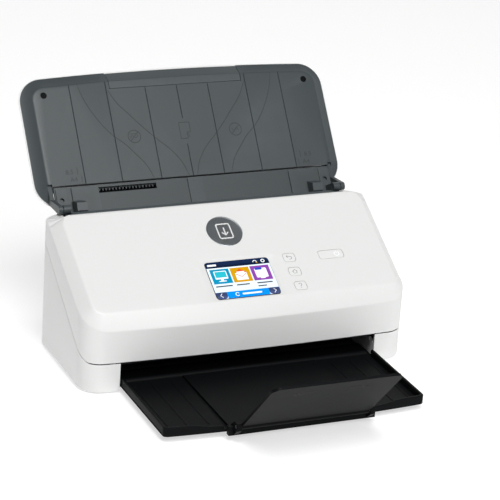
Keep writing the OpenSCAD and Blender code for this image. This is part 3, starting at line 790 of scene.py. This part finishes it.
def throat_ribs():
    """Fine ribs across the lip behind the panel: a wave of eight ridges carried along the width."""
    t = np.linspace(0, 1, 65)
    y = 106.6 + (122.8 - 106.6) * t
    z = 122.25 - 0.2293 * (y - 106.1) + 0.25 + 0.3 * np.cos(2 * np.pi * 9 * t)
    top = np.c_[y, z]
    section = np.concatenate([top, [[122.8, 118.0], [106.6, 121.6]]])
    xs = np.array([-125.0, 125.0])
    ring = np.stack([np.c_[np.full(len(section), x), section] for x in xs])
    shape = Shape()
    shape.grid(ring, round_v=True)
    shape.cap(ring[0])
    shape.cap(ring[1])
    return shape.build("throat_ribs", sharp=50)


# ---- Output tray ----

def out_front(x):
    return -OUT_REACH - 5 * (1 - (np.asarray(x, float) / OUT_HALF) ** 2)


def output_tray_skin():
    """The black output tray: a thin plate, a lip carried along its sides and front whose height
    falls in an S towards the middle, shallow runners, and the round bar under the cover."""
    shape = Shape()
    x = np.linspace(-OUT_HALF + 3, OUT_HALF - 3, 31)
    front = np.c_[x, out_front(x)]
    plan = np.concatenate([[[-OUT_HALF, -OUT_REACH + 3]], front, [[OUT_HALF, -OUT_REACH + 3]],
                           [[OUT_HALF, 30], [-OUT_HALF, 30]]])
    shape.plate(plan, [(0.5, 5.0), (0, 5.4), (0, 7.2), (0.4, 7.5)])
    # lip along one side and half the front
    fx = np.linspace(OUT_HALF - 3, 67.2, 22)
    path = np.concatenate([[[OUT_HALF, 0.8], [OUT_HALF, -30], [OUT_HALF, -60], [OUT_HALF, -OUT_REACH + 5]],
                           arc(OUT_HALF - 3, -OUT_REACH + 3.2, 3.0, 0, -90, 5)[1:],
                           np.c_[fx[1:], out_front(fx[1:])]])
    fall = 1 / (1 + np.exp((path[:, 0] - 86) / 4.0)) * (path[:, 1] < -90)
    top = 13.5 - 3.0 * fall
    side = normals(path)
    inner = path - side * 2.5
    rows = [np.c_[inner, np.full(len(path), 6.0)], np.c_[inner, top - 0.2], np.c_[path, top],
            np.c_[path, np.full(len(path), 5.1)], np.c_[inner, np.full(len(path), 5.1)]]
    section = eased(rows, (0.9, 0.9, 0.5), 3)
    for flip in (1, -1):
        shape.grid(section * [flip, 1, 1], round_u=True)
        shape.cap(section[:, 0] * [flip, 1, 1])
        shape.cap(section[:, -1] * [flip, 1, 1])
    bar = np.concatenate([[[9.0, 5.2], [3.0, 5.2]], arc(6.0, 7.5, 3.0, 180, 0, 10)])
    ring = np.stack([np.c_[np.full(len(bar), k), bar] for k in (-113.0, 113.0)])
    shape.grid(ring, round_v=True)
    shape.cap(ring[0])
    shape.cap(ring[1])
    for flip in (1, -1):
        for k in (74.0, 92.0, 108.0):
            shape.plate(rounded(*sorted((flip * k, flip * (k + 1.6))), -88, -4, 0.7, 3),
                        [(0, 7.3), (0, 7.75), (0.3, 7.95)])
    skin = shape.build("output_tray_skin")
    return skin


def stop_marks():
    """Two small cut marks near the stop's upper edge: a bracket and two slanted bars each."""
    back, up, lean = STOP_AT
    base = (back, up, 90.0 + lean)
    shape = Shape()
    for side in (-1, 1):
        x = 26.0 * side
        lines = [[(x - 12 * side, 66.0), (x, 66.0)], [(x, 66.0), (x + 1.5 * side, 61.5)],
                 [(x + 2 * side, 61.5), (x + 6 * side, 66.5)], [(x + 5 * side, 60.5), (x + 9 * side, 65.5)]]
        for line in lines:
            shape.bead(np.array(line, float), 1.3, 1.05, 1.32)
    return shape.build("stop_marks", base)


# ---- Controls on the panel ----

def display_skin():
    """The display's glass: a rounded rectangle with a softened rim."""
    shape = Shape()
    shape.plate(rounded(-29.8, 29.8, 2.4, 42.6, 3.0), [(0, -1.2), (0, -0.36), (0.12, -0.3)])
    return shape.build("display_glass_face", PANEL)


PICTURE_INKS = ("pale", "header", "cyan", "amber", "violet", "bright", "slateblue", "paper", "teal",
                "orange", "blue", "caption")


def display_picture():
    """The picture behind the glass: thin rounded plates in layers, each with its own ink."""
    shape = Shape()

    def tile(ink, x0, x1, s0, s1, layer=1, r=0.3):
        low = -0.3 + 0.02 * layer
        shape.plate(rounded(x0, x1, s0, s1, r, 3), [(0, low), (0, low + 0.02)], PICTURE_INKS.index(ink))

    def poly(ink, points, layer=3):
        low = -0.3 + 0.02 * layer
        shape.plate(np.array(points, float), [(0, low), (0, low + 0.02)], PICTURE_INKS.index(ink))

    tile("pale", -29.6, 29.6, 2.6, 42.4, 0, 2.8)
    tile("header", -29.6, 29.6, 35.9, 42.4, 1, 2.8)
    tile("header", -29.6, 29.6, 35.9, 38.5, 1, 0.05)
    tile("paper", -27.8, -19.6, 38.0, 40.0, 2, 0.4)
    tile("slateblue", -29.6, -19.5, 2.6, 9.6, 1, 2.8)
    tile("slateblue", 19.5, 29.6, 2.6, 9.6, 1, 2.8)
    tile("slateblue", -29.6, -19.5, 6.0, 9.6, 1, 0.05)
    tile("slateblue", 19.5, 29.6, 6.0, 9.6, 1, 0.05)
    tile("bright", -19.5, 19.5, 2.6, 9.6, 2, 0.05)
    tile("paper", -5.5, 12.5, 5.2, 6.9, 3, 0.3)
    for side in (-1, 1):
        shape.bead(np.array([[side * 24.0, 8.2], [side * 26.0, 6.1], [side * 24.0, 4.0]]), 0.6, -0.25, -0.22,
                   PICTURE_INKS.index("paper"))
    shape.bead(arc(-10.2, 6.1, 1.7, 30, 330, 14), 0.6, -0.23, -0.2, PICTURE_INKS.index("paper"))
    shape.bead(arc(24.2, 39.1, 1.5, 0, 360, 14), 0.8, -0.25, -0.22, PICTURE_INKS.index("paper"))
    shape.bead(arc(16.6, 38.5, 1.7, 0, 180, 10), 0.6, -0.25, -0.22, PICTURE_INKS.index("paper"))
    tile("amber", 17.4, 18.8, 37.4, 38.6, 3, 0.3)
    for ink, x in (("cyan", -27.6), ("amber", -8.8), ("violet", 10.0)):
        tile(ink, x, x + 17.6, 18.6, 34.4, 1, 0.2)
    for x, w in ((-27.0, 15.5), (-7.6, 12.0), (11.4, 14.5)):
        tile("caption", x, x + w, 15.2, 16.5, 1, 0.3)
    tile("caption", 11.4, 19.4, 12.0, 13.2, 1, 0.3)
    # monitor
    tile("paper", -24.6, -12.9, 23.6, 32.4, 2, 0.6)
    tile("teal", -23.8, -13.7, 25.4, 31.6, 3, 0.2)
    tile("paper", -20.0, -17.5, 21.8, 23.6, 2, 0.1)
    tile("paper", -22.2, -15.3, 20.8, 21.8, 2, 0.3)
    # envelope
    tile("paper", -5.4, 5.4, 20.8, 28.6, 2, 0.3)
    poly("orange", [(5.4, 28.8), (0.0, 33.2), (-5.4, 28.8)], 2)
    poly("paper", [(3.6, 26.4), (3.6, 30.0), (-3.6, 30.0), (-3.6, 26.4)], 3)
    flap = np.array([[-5.0, 27.6], [0.0, 24.2], [5.0, 27.6]])
    shape.bead(flap, 0.5, -0.24, -0.2, PICTURE_INKS.index("orange"))
    # folder
    tile("paper", 13.3, 24.4, 21.4, 31.6, 2, 1.0)
    tile("blue", 13.9, 20.4, 29.8, 32.4, 3, 0.4)
    tile("paper", 16.6, 21.2, 20.4, 21.4, 2, 0.3)
    return shape.build("display_picture", PANEL, sharp=20)


def key_cap(name, x, s, w):
    """A key: a rounded rectangle whose cap has a soft brow, on a wider flange under the panel."""
    shape = Shape()
    h = 9.0
    shape.plate(rounded(x - w / 2, x + w / 2, s - h / 2, s + h / 2, 2.5),
                [(0, -3.6), (0, -0.15), (0.12, 0.05), (0.4, 0.16), (0.9, 0.2)])
    shape.plate(rounded(x - w / 2 - 1.2, x + w / 2 + 1.2, s - h / 2 - 1.2, s + h / 2 + 1.2, 2.5),
                [(0, -4.6), (0, -3.6)])
    return shape.build(name, PANEL)


def key_sign(name, strokes):
    """A printed sign on a key: fine strokes a few hundredths of a millimetre proud."""
    shape = Shape()
    for path in strokes:
        shape.bead(np.asarray(path, float), 0.62, 0.12, 0.24)
    return shape.build(name, PANEL)


def key_signs():
    """Strokes of each key's sign, by body."""
    x, (top, mid, low) = KEY_X, KEY_ROWS
    px, ps = POWER_AT[0] + 5.6, POWER_AT[1]
    turn = np.concatenate([[[x - 2.4, top + 1.0], [x + 0.8, top + 1.0]],
                           arc(x + 0.8, top - 0.5, 1.5, 90, -90, 8), [[x - 0.6, top - 2.0]]])
    head = [[x - 1.2, top + 2.3], [x - 2.6, top + 1.0], [x - 1.2, top - 0.3]]
    ask = np.concatenate([arc(x, low + 1.1, 1.3, 180, -60, 12), [[x, low - 0.6], [x, low - 1.2]]])
    stem = [[px, ps + 0.4], [px, ps + 2.9]]
    return {
        "back_key_body": ("back_sign", [turn, head]),
        "home_key_body": ("home_sign", [[[x - 2.3, mid - 0.1], [x, mid + 2.1], [x + 2.3, mid - 0.1]],
                                        [[x - 1.5, mid + 0.2], [x - 1.5, mid - 1.9], [x + 1.5, mid - 1.9],
                                         [x + 1.5, mid + 0.2]]]),
        "help_key_body": ("help_sign", [ask, [[x - 0.3, low - 2.3], [x + 0.3, low - 2.3]]]),
        "power_button_body": ("power_sign", [arc(px, ps, 2.3, 120, 420, 20), stem]),
    }


def badge_face():
    """A round badge with a turned rim and a plain sheet and arrow, raised a little."""
    ring = arc(0, 74.8, 16.5, 0, 360, 72)[:-1]
    shape = Shape()
    shape.plate(ring, [(0, -0.2), (0, 0.32), (0.25, 0.5), (1.0, 0.5), (1.25, 0.38), (1.6, 0.38)])
    page = rounded(-6.2, 6.2, 66.9, 82.7, 1.6)
    shape.bead(np.concatenate([page, page[:2]]), 1.5, 0.3, 0.62, 1)
    shape.bead(np.array([[0.0, 70.6], [0.0, 78.6]]), 1.5, 0.3, 0.62, 1)
    shape.bead(np.array([[-2.9, 73.4], [0.0, 70.4], [2.9, 73.4]]), 1.5, 0.3, 0.62, 1)
    return shape.build("badge_face", PANEL)


# ---- Finishes of the slots ----

def slot_finishes():
    """One finish for each material slot of the record."""
    shell, tray, panel, _ = settings()
    white, slate, black = tuple(shell.white), tuple(tray.slate), tuple(tray.black)
    return {
        "white_shell": moulded("white_shell", white, 0.36, 0.5, 0.006, 0.008, 0.12, 1.1),
        "dark_shell": moulded("dark_shell", (0.04, 0.043, 0.047), 0.5, 0.7, 0.02, 0.05, 0.3, 1.8, 0.35),
        "slate": moulded("slate", slate, 0.42, 0.55, 0.014, 0.05, 0.45, 2.0, 0.45),
        "tray_black": moulded("tray_black", black, 0.5, 0.6, 0.014, 0.08, 0.2, 1.8, 0.07),
        "steel": metal("steel", (0.56, 0.57, 0.58), 0.32),
        "bush": metal("bush", (0.62, 0.42, 0.18), 0.45, (20.0, 20.0, 20.0)),
        "sensor": moulded("sensor", (0.02, 0.02, 0.022), 0.6, 0.5, 0.02, 0.1, 0.2, 1.8, 0.3),
        "clear": clear_glass("clear", (0.75, 0.86, 0.86), 0.4),
        "board": circuit("board"),
        "belt": rubber("belt", (0.018, 0.018, 0.018)),
        "grip": rubber("grip", (0.09, 0.1, 0.11)),
        "foot": rubber("foot", (0.028, 0.028, 0.03)),
        "nylon": moulded("nylon", (0.72, 0.7, 0.62), 0.42, 0.4, 0.01, 0.03, 0.2, 1.15),
        "screen": moulded("screen", (0.008, 0.014, 0.035), 0.09, 0.8, 0.001, 0.05, 0.1, 1.5),
        "badge": metal("badge", tuple(panel.badge), 0.3, (60.0, 3.0, 3.0)),
        "key": moulded("key", tuple(c * 1.01 for c in white), 0.4, 0.4, 0.006, 0.01, 0.15, 1.1),
    }


FINISHES = {}
SLOT_OF = {part["node"]: part["material_slot"] for part in frame["record"]["subparts"]}
BODY_OF = {node: body for body, nodes in frame["record"]["behaviour"]["bodies"].items() for node in nodes}


def finish(slot):
    if not FINISHES:
        FINISHES.update(slot_finishes())
    return FINISHES[slot]


def inks():
    """Finishes of the display's inks, in the picture's order."""
    header = tuple(settings()[2].header)
    colours = {"pale": (0.74, 0.85, 0.92), "header": header, "cyan": (0.0, 0.26, 0.46),
               "amber": (0.6, 0.31, 0.0), "violet": (0.24, 0.055, 0.36),
               "bright": (0.0, 0.26, 0.85), "slateblue": (0.055, 0.08, 0.19),
               "paper": (0.86, 0.88, 0.9), "teal": (0.02, 0.46, 0.56), "orange": (0.7, 0.1, 0.02),
               "blue": (0.03, 0.06, 0.5), "caption": (0.05, 0.06, 0.08)}
    return [printed("ink_" + k, colours[k], 0.12, 0.28) for k in PICTURE_INKS]


# Moulded copies of CAD nodes: node, name, edge rounding in mm
MOULDED = (
    ("rear_cover", "rear_cover_skin", 0.9), ("paper_ramp", "ramp_skin", 0.35),
    ("cover_liner", "liner_skin", 0.3), ("feed_bed", "feed_bed_skin", 0.3),
    ("bottom_plate", "bottom_skin", 0.4), ("rubber_feet", "feet_skin", 0.6),
    ("tray_hinge_arms", "hinge_arm_skin", 0.4), ("tray_screw_caps", "screw_cap_skin", 0.25),
    ("tray_extension", "extension_skin", 0.35), ("left_guide", "left_guide_skin", 0.2),
    ("right_guide", "right_guide_skin", 0.2), ("output_extension", "slide_skin", 0.9),
    ("paper_stop", "stop_skin", 0.7), ("cover_latch", "latch_skin", 0.4), ("side_frames", "frame_skin", 0.2),
    ("drive_motor", "motor_skin", 0.6),
)


# ---- Stage ----

def studio():
    """A pale floor that rises into a backdrop: a straight run, a quarter circle and a wall, carried
    along the width."""
    stage = settings()[3]
    a = np.radians(np.linspace(-90, 0, 13))
    curve = np.c_[1.6 + 1.2 * np.cos(a), 1.2 + 1.2 * np.sin(a)]
    run = np.concatenate([[[-4.0, 0.0], [1.0, 0.0]], curve, [[2.8, 4.0]]])
    p = np.stack([np.c_[np.full(len(run), x), run] for x in np.linspace(-5, 5, 5)])
    shape = Shape()
    shape.grid((p / MM)[::-1])
    floor = shape.build("studio_floor", closed=False)
    floor.data.transform(Matrix.Translation((0, -FRONT_Y * MM, -0.0001)))
    f = Finish("studio_paper")
    tone = f.mix(rgba(stage.floor, 0.6), rgba(stage.floor, 0.62), f.noise(3.0))
    floor.data.materials.append(f.shade(Base_Color=tone, Roughness=0.8, Specular_IOR_Level=0.1,
                                        Emission_Color=(1.0, 1.0, 1.0, 1.0), Emission_Strength=stage.glow))

    def light(name, at, aim, size, power, tint=(1.0, 1.0, 1.0)):
        data = bpy.data.lights.new(name, "AREA")
        data.shape, data.size, data.energy, data.color = "DISK", size, power, tint
        lamp = bpy.data.objects.new(name, data)
        lamp.location = at
        lamp.rotation_euler = (Vector(aim) - Vector(at)).to_track_quat("-Z", "Y").to_euler()
        bpy.context.scene.collection.objects.link(lamp)

    light("key_light", (0.3, -1.6, 1.4), (0, 0, 0.08), 0.9, stage.key_power)
    light("top_light", (-0.25, -0.9, 1.9), (0, 0, 0.08), 1.0, stage.key_power * 1.6)
    light("side_light", (2.0, 0.3, 0.9), (0, 0, 0.15), 0.7, stage.key_power * 0.12)
    world = bpy.data.worlds.new("studio_air")
    world.use_nodes = True
    world.node_tree.nodes["Background"].inputs["Color"].default_value = (1, 1, 1, 1)
    world.node_tree.nodes["Background"].inputs["Strength"].default_value = 0.1
    bpy.context.scene.world = world
    bpy.context.scene.view_settings.view_transform = "Standard"


def camera():
    """The camera: its bearing, height angle and roll, its distance from a point over the front."""
    azimuth, elevation, roll = (math.radians(v) for v in (-24.739, 21.130, 3.926))
    distance, lens, target = 1870.812, 160.157, Vector((-8.438, 0.0, 119.840))
    back = Vector((math.sin(azimuth) * math.cos(elevation), -math.cos(azimuth) * math.cos(elevation),
                   math.sin(elevation)))
    right = (-back).cross(Vector((0, 0, 1))).normalized()
    up = right.cross(-back)
    x_axis = right * math.cos(roll) + up * math.sin(roll)
    y_axis = -right * math.sin(roll) + up * math.cos(roll)
    data = bpy.data.cameras.new("camera")
    data.lens, data.sensor_width, data.clip_start, data.clip_end = lens, 36.0, 0.05, 50.0
    eye = bpy.data.objects.new("camera", data)
    spot = (target + back * distance + Vector((0, FRONT_Y, 0))) * MM
    turn = Matrix((x_axis, y_axis, back)).transposed().to_4x4()
    eye.matrix_world = Matrix.Translation(spot) @ turn
    bpy.context.scene.collection.objects.link(eye)
    bpy.context.scene.camera = eye


# ---- Operators ----

class SCAN_OT_stage(bpy.types.Operator):
    """Builds the floor, the lights and the camera"""
    bl_idname = "scan.stage"
    bl_label = "Stage"

    def execute(self, context):
        camera()
        studio()
        return {"FINISHED"}


class SCAN_OT_housing(bpy.types.Operator):
    """Builds the white front cover and the white base"""
    bl_idname = "scan.housing"
    bl_label = "Housing"

    def execute(self, context):
        show(cover_skin(), "cover", "white_shell", finish("white_shell"), "cover_shell")
        show(base_skin(), "base", "white_shell", finish("white_shell"), "base_shell")
        show(throat_ribs(), "cover", "slate", finish("slate"))
        return {"FINISHED"}


class SCAN_OT_controls(bpy.types.Operator):
    """Builds the display, the keys with their signs and the badge"""
    bl_idname = "scan.controls"
    bl_label = "Controls"

    def execute(self, context):
        show(display_skin(), "cover", "screen", finish("screen"), "display_glass")
        show(display_picture(), "cover", "screen", inks())
        for node, s in zip(("back_key", "home_key", "help_key"), KEY_ROWS):
            show(key_cap(node + "_cap", KEY_X, s, 11.0), node + "_body", "key", finish("key"), node)
        show(key_cap("power_button_cap", *POWER_AT, 23.5), "power_button_body", "key", finish("key"),
             "power_button")
        grey = printed("sign_grey", (0.16, 0.165, 0.17))
        # The power sign's white glows at 0.25 without any lamp in it: painted light that keeps it brighter
        # than the lit key around it.
        white = printed("sign_white_painted_glow", (0.92, 0.93, 0.94), 0.4, 0.25)
        for body, (name, strokes) in key_signs().items():
            show(key_sign(name, strokes), body, "key", white if body == "power_button_body" else grey)
        show(badge_face(), "cover", "badge", [finish("badge"), finish("key")], "emblem")
        return {"FINISHED"}


class SCAN_OT_input_tray(bpy.types.Operator):
    """Builds the input tray's slate face, its marks and its white back"""
    bl_idname = "scan.input_tray"
    bl_label = "Input tray"

    def execute(self, context):
        show(tray_skin(), "input_tray", "slate", finish("slate"), "tray_plate")
        show(tray_shell(), "input_tray", "white_shell", finish("white_shell"), "tray_back_shell")
        # The tray's marks are coloured 0.42 of the slate: painted shade that stands for the shade along the
        # tray's moulded lines.
        deep = tuple(c * 0.42 for c in settings()[1].slate)
        line_shade = moulded("slate_line_painted_shade", deep, 0.5, 0.4, 0.01, 0.1, 0.2, 1.6)
        show(tray_marks(), "input_tray", "slate", line_shade)
        show(paper_size_marks(), "input_tray", "slate", line_shade)
        return {"FINISHED"}


class SCAN_OT_output_tray(bpy.types.Operator):
    """Builds the black output tray and the cut marks on its stop"""
    bl_idname = "scan.output_tray"
    bl_label = "Output tray"

    def execute(self, context):
        show(output_tray_skin(), "out_tray", "tray_black", finish("tray_black"), "output_tray")
        deep = printed("stop_mark", (0.002, 0.002, 0.002), 0.7)
        show(stop_marks(), "stop", "tray_black", deep)
        return {"FINISHED"}


class SCAN_OT_moulded(bpy.types.Operator):
    """Makes a moulded copy, with rounded edges, of each CAD node in the list"""
    bl_idname = "scan.moulded"
    bl_label = "Moulded parts"

    def execute(self, context):
        for node, name, width in MOULDED:
            slot = SLOT_OF[node]
            show(softened(node, name, width), BODY_OF[node], slot, finish(slot), node)
        return {"FINISHED"}


class SCAN_OT_inside(bpy.types.Operator):
    """Gives every CAD node that stays its slot's finish"""
    bl_idname = "scan.inside"
    bl_label = "Inside parts"

    def execute(self, context):
        for name, node in frame["nodes"].items():
            node.data.materials.clear()
            node.data.materials.append(finish(SLOT_OF[name]))
        return {"FINISHED"}


class SCAN_PT_panel(bpy.types.Panel):
    """Sizes and colours of the scanner, with a button for each group of pieces"""
    bl_label = "Scanner"
    bl_idname = "SCAN_PT_panel"
    bl_space_type = "VIEW_3D"
    bl_region_type = "UI"
    bl_category = "Scanner"

    def draw(self, context):
        for group in settings():
            box = self.layout.box()
            for key in group.__annotations__:
                box.prop(group, key)
        for step in STEPS:
            self.layout.operator(step.bl_idname)


STEPS = (SCAN_OT_stage, SCAN_OT_inside, SCAN_OT_housing, SCAN_OT_controls, SCAN_OT_input_tray,
         SCAN_OT_output_tray, SCAN_OT_moulded)
GROUPS = (("scan_shell", ShellSettings), ("scan_tray", TraySettings), ("scan_panel", PanelSettings),
          ("scan_stage", StageSettings))


def register():
    for name, group in GROUPS:
        bpy.utils.register_class(group)
        setattr(bpy.types.Scene, name, PointerProperty(type=group))
    for item in STEPS + (SCAN_PT_panel,):
        bpy.utils.register_class(item)


def unregister():
    for item in (SCAN_PT_panel,) + STEPS[::-1]:
        bpy.utils.unregister_class(item)
    for name, group in GROUPS[::-1]:
        delattr(bpy.types.Scene, name)
        bpy.utils.unregister_class(group)


def main():
    register()
    for step in STEPS:
        group, name = step.bl_idname.split(".")
        getattr(getattr(bpy.ops, group), name)()


if __name__ == "__main__":
    main()
